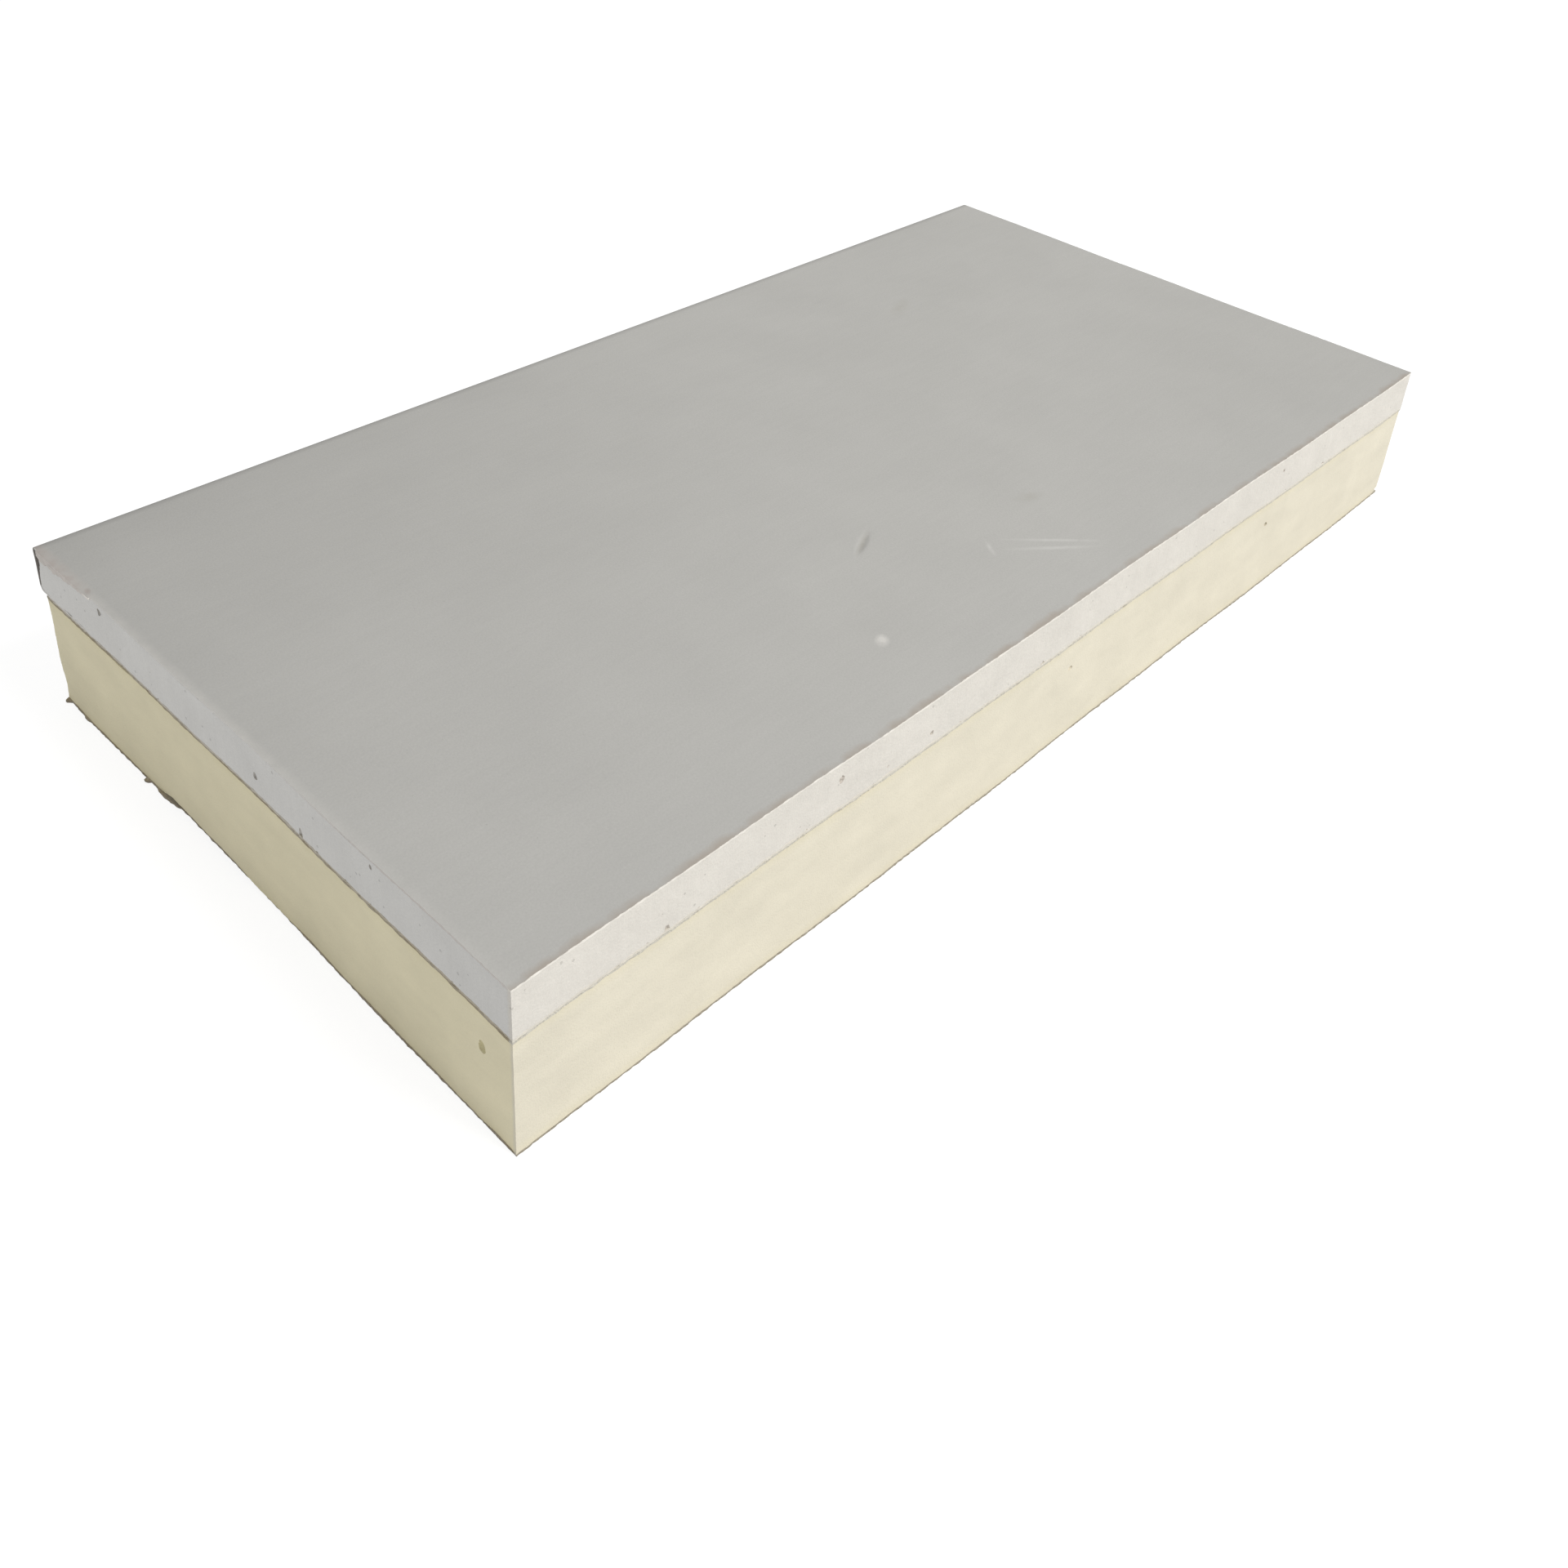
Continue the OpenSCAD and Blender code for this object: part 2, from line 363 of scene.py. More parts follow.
def sawn_gypsum():
    # Set gypsum, sawn: chalk-white and quite matt, with a powdery grain, odd pin holes with painted shade
    # inside them, and faint upright saw marks. Dust warms it on the long edge.
    material, tree = new_material("set gypsum, sawn")
    own = colours()
    position = add(tree, "TexCoord").outputs["Object"]
    base = mix(tree, on_sawn_side(tree, position), own.gypsum, own.gypsum_dusty)
    clouds = blotches(tree, position, 11, 0.965, 1.025, 4.0)
    across = add(tree, "SeparateXYZ", {0: position}).outputs["Y"]
    grimy = add(tree, "MapRange", {0: across, 1: 0.01, 2: SAWN_Y + 1.2 * MM, 3: 1.0, 4: 0.93}).outputs[0]
    saw_marks = blotches(tree, stretched(tree, position, (1, 1, 0.1)), 1.1, 0.985, 1.012)
    grain = blotches(tree, position, 0.45, 0.97, 1.03)
    # Pin holes: dented by the relief and painted a fifth darker, as painted shade inside them
    cells = add(tree, "TexVoronoi", {"Vector": position, "Scale": per_mm(2.6)})
    chosen = add(tree, "SeparateColor", {0: cells.outputs["Color"]}).outputs[0]
    reach = add(tree, "MapRange", {0: chosen, 1: 0.6, 2: 1.0, 3: 0.0, 4: 0.13})
    inside = add(tree, "Math", {0: cells.outputs["Distance"], 1: reach.outputs[0]}, operation="LESS_THAN")
    pin_holes_and_shade = add(tree, "MapRange", {0: inside.outputs[0], 3: 1.0, 4: 0.8}).outputs[0]
    relief = add(tree, "Math", {0: grain, 1: saw_marks}, operation="ADD")
    relief = add(tree, "Math", {0: relief.outputs[0], 1: pin_holes_and_shade}, operation="ADD")
    colour = toned(tree, base, clouds, grimy, saw_marks, grain, pin_holes_and_shade)
    finish(tree, colour, relief.outputs[0], 0.6, 0.95, 0.2)
    return material


def broken_gypsum():
    # Set gypsum where it has broken away: sugary crystals, painted greyer than the sawn gypsum as painted
    # shade in the chips, pores and broken gap.
    material, tree = new_material("set gypsum, broken")
    position = add(tree, "TexCoord").outputs["Object"]
    # Painted shade: a cloudy mix of two greys, both darker than the sawn gypsum
    painted_hollow_shade = blotches(tree, position, 1.2, 0.0, 1.0)
    inside = mix(tree, painted_hollow_shade, linear("#CECBC5"), linear("#ABA69F"))
    base = mix(tree, on_sawn_side(tree, position), inside, linear("#C9C2B8"))
    grain = blotches(tree, position, 0.5, 0.85, 1.08)
    finish(tree, toned(tree, base, grain), grain, 0.6, 0.97, 0.15)
    return material


def sawn_foam():
    # Polyisocyanurate foam, sawn: pale straw, matt and softly see-through to the eye. Its cells are a
    # few tenths of a millimetre across, drawn a little coarse here so that they show, and it is denser
    # and yellower beside the facers.
    material, tree = new_material("rigid polyisocyanurate foam, sawn")
    own = colours()
    position = add(tree, "TexCoord").outputs["Object"]
    base = mix(tree, on_sawn_side(tree, position), own.foam, own.foam_dusty)
    level = add(tree, "SeparateXYZ", {0: position}).outputs["Z"]
    middle = (FOAM_LOW.z + FOAM_HIGH.z) / 2
    off_middle = add(tree, "Math", {0: level, 1: middle}, operation="SUBTRACT")
    off_middle = add(tree, "Math", {0: off_middle.outputs[0]}, operation="ABSOLUTE").outputs[0]
    half = (FOAM_HIGH.z - FOAM_LOW.z) / 2
    skin = add(tree, "MapRange", {0: off_middle, 1: half - 2.5 * MM, 2: half, 3: 0.0, 4: 0.16})
    dense = mix(tree, skin.outputs[0], base, linear("#D9CD9A"))
    clouds = blotches(tree, position, 14, 0.965, 1.03, 4.0)
    layers = blotches(tree, stretched(tree, position, (0.25, 0.25, 1)), 4, 0.98, 1.02)
    cells = add(tree, "TexVoronoi", {"Vector": position, "Scale": per_mm(0.45)})
    to_wall = {0: cells.outputs["Distance"], 1: 0.0, 2: 0.6, 3: 0.985, 4: 1.012}
    pits = add(tree, "MapRange", to_wall).outputs[0]
    colour = toned(tree, dense, clouds, layers, pits)
    finish(tree, colour, pits, 1.0, 0.95, 0.2)
    return material


def torn_foam():
    # The same foam where something has torn cells out of it: crumbly, a little greenish, and painted darker
    # than the sawn foam as painted shade in the dents.
    material, tree = new_material("rigid polyisocyanurate foam, torn")
    position = add(tree, "TexCoord").outputs["Object"]
    crumbs = blotches(tree, position, 0.7, 0.88, 1.06, 4.0)
    # Painted shade: both colours are darker than the sawn foam
    base = mix(tree, on_sawn_side(tree, position), linear("#D8D0AB"), linear("#DCD5C2"))
    finish(tree, toned(tree, base, crumbs), crumbs, 0.8, 0.97, 0.15)
    return material


def glued_joint():
    # Facer soaked with adhesive: dark brown where it is freshly cut, with paler fibres dragged over
    # it, and nearly hidden by dust on the long edge.
    material, tree = new_material("coated glass tissue facer, glued")
    own = colours()
    position = add(tree, "TexCoord").outputs["Object"]
    dust = broken(tree, on_sawn_side(tree, position), position, 3, 0.15, 0.4)
    fibres = blotches(tree, stretched(tree, position, (0.3, 0.3, 1)), 1.5, 0.0, 0.55, 5.0)
    fresh = mix(tree, fibres, own.joint, own.joint_dusty)
    base = mix(tree, dust, fresh, own.joint_dusty)
    grain = blotches(tree, position, 0.5, 0.85, 1.1)
    finish(tree, toned(tree, base, grain), grain, 0.6, 0.9, 0.2)
    return material


def coated_facer():
    # Coated facer on the foam's back: a thin, dull mineral coating over glass tissue, with cloudy
    # warm and cool blotches a finger wide and a fine pebble from the tissue.
    material, tree = new_material("mineral-coated glass tissue facer")
    own = colours()
    position = add(tree, "TexCoord").outputs["Object"]
    mottle = blotches(tree, position, 18, 0.0, 1.0, 5.0)
    base = mix(tree, mottle, own.facer, own.facer_pale)
    tissue = blotches(tree, stretched(tree, position, (0.35, 1, 1)), 1.2, 0.95, 1.04, 5.0)
    grain = blotches(tree, position, 0.5, 0.96, 1.04)
    relief = add(tree, "Math", {0: tissue, 1: grain}, operation="ADD")
    finish(tree, toned(tree, base, tissue, grain), relief.outputs[0], 0.5, 0.8, 0.35)
    return material


def facer_edge():
    # Cut edge of the back facer: grey-brown tissue with paler broken coating. On the sawn long edge it is
    # painted a flat grey, partly its own colour and partly a painted contact shadow along the bottom.
    material, tree = new_material("mineral-coated glass tissue facer, cut edge")
    own = colours()
    position = add(tree, "TexCoord").outputs["Object"]
    broken_coat = blotches(tree, stretched(tree, position, (0.5, 0.5, 1)), 1.6, 0.0, 0.7, 5.0)
    cut = mix(tree, broken_coat, own.facer_edge, own.facer)
    # Partly painted shadow: on the sawn long edge the cut edge is greyer, standing in for a contact shadow
    # along the bottom as well as its own colour
    base = mix(tree, on_sawn_side(tree, position), cut, linear("#A39B8B"))
    grain = blotches(tree, position, 0.5, 0.85, 1.1)
    finish(tree, toned(tree, base, grain), grain, 0.6, 0.9, 0.2)
    return material


# Shaping


def rest_all():
    """Leaves the objects unselected, because an operator acts on all that is selected."""
    bpy.ops.object.select_all(action="DESELECT")


def place(piece):
    """Puts the piece's place, turn and scale in its mesh."""
    rest_all()
    bpy.context.view_layer.objects.active = piece
    piece.select_set(True)
    bpy.ops.object.transform_apply(location=True, rotation=True, scale=True)


def start(name, low, high, materials, flat=False):
    """Adds a primitive between two corners, with its materials and its place in its mesh."""
    rest_all()
    low, high = Vector(low), Vector(high)
    if flat:
        bpy.ops.mesh.primitive_plane_add(size=1, location=(low + high) / 2)
    else:
        bpy.ops.mesh.primitive_cube_add(size=1, location=(low + high) / 2)
    piece = bpy.context.object
    piece.name = name
    span = high - low
    piece.scale = (span.x, span.y, 1 if flat else span.z)
    place(piece)
    for material in materials:
        piece.data.materials.append(material)
    return piece


def choose(piece, kind, wanted):
    """Selects, in edit mode, the edges or faces that pass a test of their middle and direction."""
    bpy.ops.object.mode_set(mode="EDIT")
    bpy.ops.mesh.select_mode(type=kind)
    bpy.ops.mesh.select_all(action="DESELECT")
    bpy.ops.object.mode_set(mode="OBJECT")
    mesh = piece.data
    if kind == "FACE":
        for face in mesh.polygons:
            face.select = wanted(face.center, face.normal)
    else:
        for edge in mesh.edges:
            a, b = (mesh.vertices[i].co for i in edge.vertices)
            edge.select = wanted((a + b) / 2, (b - a).normalized())
    bpy.ops.object.mode_set(mode="EDIT")


def cut_edges(piece, cuts, wanted):
    """Cuts each chosen edge in this many places."""
    choose(piece, "EDGE", wanted)
    bpy.ops.mesh.subdivide(number_cuts=cuts)
    bpy.ops.object.mode_set(mode="OBJECT")


def slice_along(piece, axis, width):
    """Cuts the piece across an axis into slices of about this width."""
    count = round(piece.dimensions[axis] / width)
    rough = math.ceil(count / 60)
    for parts in (rough, round(count / rough)):
        if parts > 1:
            cut_edges(piece, parts - 1, lambda middle, along: abs(along[axis]) > 0.99)


def apply(piece, modifier):
    rest_all()
    bpy.context.view_layer.objects.active = piece
    piece.select_set(True)
    bpy.ops.object.modifier_apply(modifier=modifier.name)


def weigh(piece, weight):
    """Makes a vertex group of the points whose weight is above 0."""
    group = piece.vertex_groups.new(name="shaping")
    for vertex in piece.data.vertices:
        share = weight(vertex.co)
        if share > 0:
            group.add([vertex.index], min(share, 1), "REPLACE")
    return group


def press(piece, depth, direction, weight):
    """Moves the surface along an axis, by depth times the weight of each point."""
    group = weigh(piece, weight)
    modifier = piece.modifiers.new("press", "DISPLACE")
    modifier.direction = direction
    modifier.mid_level = 0
    modifier.strength = depth
    modifier.vertex_group = group.name
    apply(piece, modifier)
    piece.vertex_groups.remove(piece.vertex_groups["shaping"])


def roughen(piece, depth, size, direction, weight, level=0.5):
    """Gives the surface a cloudy relief of this depth and size. Points at the level stay in place."""
    relief = bpy.data.textures.new("relief", "CLOUDS")
    relief.noise_scale = size
    relief.noise_depth = 2
    group = weigh(piece, weight)
    modifier = piece.modifiers.new("relief", "DISPLACE")
    modifier.texture = relief
    modifier.texture_coords = "LOCAL"
    modifier.direction = direction
    modifier.mid_level = level
    modifier.strength = depth
    modifier.vertex_group = group.name
    apply(piece, modifier)
    piece.vertex_groups.remove(piece.vertex_groups["shaping"])
    bpy.data.textures.remove(relief)


def near(value, edge, reach):
    """1 at an edge, falling to 0 at this distance from it."""
    return 1 - ease(abs(value - edge), 0, reach)


def wave(along, phase):
    """How a sawn cut wanders, from 0 to 1, at this place along it."""
    return 0.5 + 0.32 * math.sin(along / (27 * MM) + phase) + 0.18 * math.sin(along / (9 * MM) + 2.3 * phase)


def saw(piece, phase):
    """Lets the sawn sides wander inwards a little, as a saw cut by eye does."""
    reach = 4 * MM
    wander = sizes().wander
    press(piece, wander, "Y", lambda co: wave(co.x, phase) * near(co.y, SAWN_Y, reach))
    press(piece, wander, "X", lambda co: wave(co.y, phase + 1) * near(co.x, END_X, reach))
    press(piece, -wander, "X", lambda co: wave(co.y, phase + 2) * near(co.x, FAR_X, reach))


def fray(piece, depth, size):
    """Makes the sawn rims of a thin sheet ragged."""
    rim = 0.9 * MM
    roughen(piece, depth, size, "Y", lambda co: co.y < SAWN_Y + rim, 0.3)
    roughen(piece, depth, size, "X", lambda co: co.x < END_X + rim, 0.3)
    roughen(piece, depth, size, "X", lambda co: co.x > FAR_X - rim, 0.7)


def hollow(piece, hollows, roughness, seed):
    """Breaks rough hollows out of the piece. Each is a place, a radius and how flat it is along Z."""
    dice = random.Random(seed)
    rest_all()
    lumps = []
    for middle, radius, flatness in hollows:
        bpy.ops.mesh.primitive_ico_sphere_add(subdivisions=3, radius=radius, location=middle)
        lump = bpy.context.object
        lump.scale = (dice.uniform(0.8, 1.2), dice.uniform(0.8, 1.2), flatness)
        lumps.append(lump)
    rest_all()
    for lump in lumps:
        lump.select_set(True)
    bpy.context.view_layer.objects.active = lumps[0]
    if len(lumps) > 1:
        bpy.ops.object.join()
    cutter = bpy.context.object
    place(cutter)
    roughen(cutter, roughness, 0.8 * MM, "NORMAL", lambda co: 1)
    carve(piece, cutter)


def carve(piece, cutter):
    """Cuts one shape out of the piece, with the piece's last material on what the cut lays bare."""
    for material in piece.data.materials:
        cutter.data.materials.append(material)
    last = len(piece.data.materials) - 1
    for face in cutter.data.polygons:
        face.material_index = last
    modifier = piece.modifiers.new("hollow", "BOOLEAN")
    modifier.operation = "DIFFERENCE"
    modifier.solver = "MANIFOLD"
    modifier.object = cutter
    apply(piece, modifier)
    bpy.data.objects.remove(cutter)


def thicken(piece, thickness, back=0):
    """Gives a sheet its thickness, behind its face. Its rim takes the material after its face's, and
    its back the one that is this many further on."""
    shell = piece.modifiers.new("thickness", "SOLIDIFY")
    shell.thickness = thickness
    shell.offset = -1
    shell.use_even_offset = True
    shell.material_offset_rim = 1
    shell.material_offset = back
    apply(piece, shell)


def walls(name, low, high, width, materials):
    """The four walls of a slab, cut into a grid of this width, with no top or bottom yet."""
    piece = start(name, low, high, materials)
    choose(piece, "FACE", lambda middle, normal: abs(normal.z) > 0.5)
    bpy.ops.mesh.delete(type="ONLY_FACE")
    bpy.ops.object.mode_set(mode="OBJECT")
    for axis in range(3):
        slice_along(piece, axis, width)
    return piece


def close_rim(piece, wanted):
    """Closes an open rim, or a stretch of one, with a single face."""
    choose(piece, "EDGE", lambda middle, along: abs(along.z) < 0.7 and wanted(middle))
    bpy.ops.mesh.edge_face_add()
    bpy.ops.object.mode_set(mode="OBJECT")


def smooth(piece, angle):
    rest_all()
    bpy.context.view_layer.objects.active = piece
    piece.select_set(True)
    bpy.ops.object.shade_smooth_by_angle(angle=math.radians(angle))


def dress(piece, node):
    """Hides the imported part that a finished piece stands for, and hangs the piece under the root body."""
    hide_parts(node)
    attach(piece, "root")


# The pieces


class MESH_OT_face_paper(bpy.types.Operator):
    """Face paper: a sheet folded round the bound edge, dented, and torn into a lip at the left end"""

    bl_idname = "plasterboard.face_paper"
    bl_label = "Face Paper"

    def execute(self, context):
        own = sizes()
        radius = own.fold_radius
        fold_y = BOUND_Y - radius
        # Partly painted highlight: the paper's cut edge on the sawn long edge is near-white, partly pale pulp
        # and partly a painted highlight along the near top arris
        edge = paper_edge("liner paper, sawn edge", colours().pulp, 0.95, linear("#E8E4DC"))
        piece = start(
            "face_paper_sheet",
            (END_X, SAWN_Y, FACE_Z),
            (FAR_X, fold_y, FACE_Z),
            (liner_paper(), edge, torn_paper()),
            flat=True,
        )
        slice_along(piece, 0, 2 * MM)
        slice_along(piece, 1, 2 * MM)
        choose(piece, "EDGE", lambda middle, along: abs(along.x) > 0.99 and middle.y > fold_y - 0.1 * MM)
        bpy.ops.mesh.spin(
            steps=6, angle=math.pi / 2, center=(0, fold_y, FACE_Z - radius), axis=(1, 0, 0)
        )
        wall = FACE_Z - FOLD_Z - 2 * radius
        for step in range(5):
            bpy.ops.mesh.extrude_region_move(TRANSFORM_OT_translate={"value": (0, 0, -wall / 5)})
        bpy.ops.mesh.spin(
            steps=6, angle=math.pi / 2, center=(0, fold_y, FOLD_Z + radius), axis=(1, 0, 0)
        )
        for step in range(5):
            bpy.ops.mesh.extrude_region_move(
                TRANSFORM_OT_translate={"value": (0, -(own.lap - radius) / 5, 0)}
            )
        bpy.ops.mesh.select_all(action="SELECT")
        bpy.ops.mesh.remove_doubles(threshold=0.01 * MM)
        bpy.ops.object.mode_set(mode="OBJECT")

        cut_edges(piece, 3, lambda middle, along: abs(along.y) > 0.9 and middle.x < END_X + 0.01 * MM)
        cut_edges(piece, 3, lambda middle, along: abs(along.y) > 0.9 and middle.x > FAR_X - 0.01 * MM)
        cut_edges(piece, 3, lambda middle, along: abs(along.x) > 0.9 and middle.y < SAWN_Y + 0.01 * MM)
        self.tear_lip(piece)
        self.press_dent(piece)
        roughen(piece, 0.1 * MM, 22 * MM, "Z", lambda co: co.z > FACE_Z - 0.1 * MM, 1)
        thicken(piece, PAPER_T)
        saw(piece, 0)
        fray(piece, 0.3 * MM, 0.9 * MM)
        smooth(piece, 35)
        dress(piece, "face_paper")
        return {"FINISHED"}

    def tear_lip(self, piece):
        """Draws the paper out over the left arris and down, and tears its end off raggedly."""
        own = sizes()
        lip_y = BOUND_Y - PAPER_T - own.gap_width
        tip_y = lip_y - own.lip_length
        choose(
            piece,
            "EDGE",
            lambda middle, along: abs(along.y) > 0.9
            and middle.x < END_X + 0.01 * MM
            and middle.z > FACE_Z - 0.1 * MM
            and tip_y < middle.y < lip_y,
        )
        bpy.ops.mesh.extrude_region_move(
            TRANSFORM_OT_translate={"value": (-0.35 * MM, 0, -0.12 * MM)}
        )
        drop = own.lip_drop - 0.12 * MM
        steps = 6
        for step in range(steps):
            bpy.ops.mesh.extrude_region_move(
                TRANSFORM_OT_translate={"value": (-0.02 * MM, 0, -drop / steps)}
            )
        bpy.ops.object.mode_set(mode="OBJECT")
        choose(
            piece,
            "FACE",
            lambda middle, normal: middle.x < END_X - 0.05 * MM and middle.z < FACE_Z - 0.1 * MM,
        )
        piece.active_material_index = 2
        bpy.ops.object.material_slot_assign()
        bpy.ops.object.mode_set(mode="OBJECT")

        def short(co):
            if co.x > END_X - 0.1 * MM or co.z > FACE_Z - 0.2 * MM:
                return 0
            share = (lip_y - co.y) / own.lip_length
            ragged = 0.16 * math.sin(co.y / (0.9 * MM)) + 0.1 * math.sin(co.y / (0.37 * MM))
            length = min(1, 1.35 * (1 - share)) * (0.82 + ragged)
            return (1 - max(length, 0.04)) * (FACE_Z - 0.12 * MM - co.z) / drop

        press(piece, drop, "Z", short)

    def press_dent(self, piece):
        """Presses the long shallow dent into the face."""
        along, across, half_length, half_width, turn = DENT
        middle_x, middle_y = END_X + along * MM, BOUND_Y - across * MM
        turn = math.radians(turn)
        choose(
            piece,
            "FACE",
            lambda middle, normal: math.hypot(middle.x - middle_x, middle.y - middle_y) < 10 * MM
            and middle.z > FACE_Z - 0.1 * MM,
        )
        bpy.ops.mesh.subdivide(number_cuts=3)
        bpy.ops.object.mode_set(mode="OBJECT")

        def depth(co):
            if co.z < FACE_Z - 0.1 * MM:
                return 0
            out_x, out_y = (co.x - middle_x) / MM, (co.y - middle_y) / MM
            lengthwise = (out_x * math.cos(turn) + out_y * math.sin(turn)) / half_length
            widthwise = (out_y * math.cos(turn) - out_x * math.sin(turn)) / (1.3 * half_width)
            return ease(1 - math.hypot(lengthwise, widthwise), 0, 0.8)

        press(piece, -sizes().dent, "Z", depth)


class MESH_OT_gypsum_core(bpy.types.Operator):
    """Gypsum: a slab rebated for the lap, with sawn walls, chipped arrises and a broken gap"""

    bl_idname = "plasterboard.gypsum_core"
    bl_label = "Gypsum Core"

    def execute(self, context):
        own = sizes()
        materials = (sawn_gypsum(), broken_gypsum())
        piece = walls("gypsum_slab", GYPSUM_LOW, GYPSUM_HIGH, 1 * MM, materials)
        lap_y = BOUND_Y - own.lap
        press(piece, PAPER_T, "Z", lambda co: co.z < GYPSUM_LOW.z + 0.1 * MM and co.y > lap_y)
        bottom_z = GYPSUM_LOW.z + 0.7 * MM
        rows = [vertex.co.y for vertex in piece.data.vertices]
        step_y = max(y for y in rows if y <= lap_y)
        rise_y = min(y for y in rows if y > lap_y)
        close_rim(piece, lambda middle: middle.z > GYPSUM_HIGH.z - 0.1 * MM)
        for low, high in ((SAWN_Y - MM, step_y), (step_y, rise_y), (rise_y, BOUND_Y)):
            close_rim(piece, lambda middle: middle.z < bottom_z and low < middle.y < high)
        choose(
            piece,
            "EDGE",
            lambda middle, along: abs(along.x) > 0.99
            and middle.y > GYPSUM_HIGH.y - 0.1 * MM
            and not bottom_z < middle.z < GYPSUM_HIGH.z - 0.1 * MM,
        )
        bpy.ops.mesh.bevel(offset=0.9 * (own.fold_radius - PAPER_T), segments=4)
        bpy.ops.object.mode_set(mode="OBJECT")
        choose(piece, "FACE", lambda middle, normal: abs(normal.x) > 0.9 or normal.y < -0.9)
        bpy.ops.mesh.subdivide(number_cuts=1)
        bpy.ops.object.mode_set(mode="OBJECT")
        saw(piece, 0)
        wall = 0.9 * MM
        roughen(piece, 0.3 * MM, 5 * MM, "Y", lambda co: co.y < SAWN_Y + wall, 0.3)
        roughen(piece, 0.12 * MM, 0.7 * MM, "Y", lambda co: co.y < SAWN_Y + wall, 0.3)
        roughen(piece, 0.3 * MM, 5 * MM, "X", lambda co: co.x < END_X + wall, 0.3)
        roughen(piece, 0.12 * MM, 0.7 * MM, "X", lambda co: co.x < END_X + wall, 0.3)
        roughen(piece, 0.3 * MM, 5 * MM, "X", lambda co: co.x > FAR_X - wall, 0.7)
        hollow(piece, self.chips(), 0.6 * MM, 3)
        self.break_gap(piece)
        smooth(piece, 40)
        dress(piece, "gypsum_core")
        return {"FINISHED"}

    def chips(self):
        """The chips and pin holes in the sawn walls, and crumbs off the lower arrises."""
        low = GYPSUM_LOW.z
        wander = sizes().wander
        hollows = []
        for out, r, up in END_CHIPS:
            hollows.append(((END_X - 0.4 * r * MM, BOUND_Y - out * MM, low), r * MM, up / r))
        for out, r, up in SIDE_CHIPS:
            hollows.append(((END_X + out * MM, SAWN_Y - 0.4 * r * MM, low), r * MM, up / r))
        for out, down, r in END_PORES:
            y = BOUND_Y - out * MM
            wall = END_X + wander * wave(y, 1) - 0.2 * r * MM
            hollows.append(((wall, y, FACE_Z - down * MM), r * MM, 1.4))
        for out, down, r in SIDE_PORES:
            x = END_X + out * MM
            wall = SAWN_Y + wander * wave(x, 0) - 0.1 * r * MM
            hollows.append(((x, wall, FACE_Z - down * MM), r * MM, 1.3))
        dice = random.Random(11)
        for number in range(14):
            out = 6 + 11.6 * number + dice.uniform(-3, 3)
            if min(abs(out - chip[0]) for chip in END_CHIPS) > 4:
                hollows.append(((END_X, BOUND_Y - out * MM, low), dice.uniform(0.3, 0.5) * MM, 0.7))
        for number in range(26):
            out = 5 + 12.6 * number + dice.uniform(-4, 4)
            if min(abs(out - chip[0]) for chip in SIDE_CHIPS) > 4:
                hollows.append(((END_X + out * MM, SAWN_Y, low), dice.uniform(0.25, 0.5) * MM, 0.7))
        return hollows

    def break_gap(self, piece):
        """Breaks out the wedge behind the fold at the left end."""
        own = sizes()
        inner_y = BOUND_Y - PAPER_T
        low = (END_X - 1 * MM, inner_y - own.gap_width, FOLD_Z + own.fold_radius)
        high = (END_X + own.gap_depth, inner_y + 0.2 * MM, FACE_Z + 0.2 * MM)
        wedge = start("wedge", low, high, ())
        for axis in range(3):
            slice_along(wedge, axis, 0.7 * MM)
        rise = high[2] - low[2]

        def narrow(co):
            inward = (high[1] - co.y) / (high[1] - low[1])
            return inward * (1 - ease(co.z, low[2], high[2] - 0.1 * rise)) * 0.9

        def shallow(co):
            inward = (co.x - low[0]) / (high[0] - low[0])
            return inward * (1 - ease(co.z, low[2] - 0.4 * rise, high[2])) * 0.75

        press(wedge, own.gap_width, "Y", narrow)
        press(wedge, -own.gap_depth, "X", shallow)
        roughen(wedge, 0.7 * MM, 1.5 * MM, "NORMAL", lambda co: co.y < inner_y - 0.1 * MM)
        carve(piece, wedge)


class MESH_OT_back_paper(bpy.types.Operator):
    """Back paper: a thin sheet over the lap, sawn ragged"""

    bl_idname = "plasterboard.back_paper"
    bl_label = "Back Paper"

    def execute(self, context):
        edge = paper_edge("liner paper, back, sawn edge", colours().back_paper, 0.35, linear("#DAD5CA"))
        piece = thin_sheet("back_paper_sheet", BACK_PAPER_LOW, BACK_PAPER_HIGH, (edge,))
        saw(piece, 0)
        fray(piece, 0.35 * MM, 1.2 * MM)
        dress(piece, "back_paper")
        return {"FINISHED"}


class MESH_OT_top_facer(bpy.types.Operator):
    """Top facer: the foam's glued facer, sawn ragged in the joint"""

    bl_idname = "plasterboard.top_facer"
    bl_label = "Top Facer"

    def execute(self, context):
        joint = glued_joint()
        piece = thin_sheet("top_facer_sheet", TOP_FACER_LOW, TOP_FACER_HIGH, (joint,))
        saw(piece, 0)
        fray(piece, 0.4 * MM, 2 * MM)
        dress(piece, "foam_top_facer")
        return {"FINISHED"}


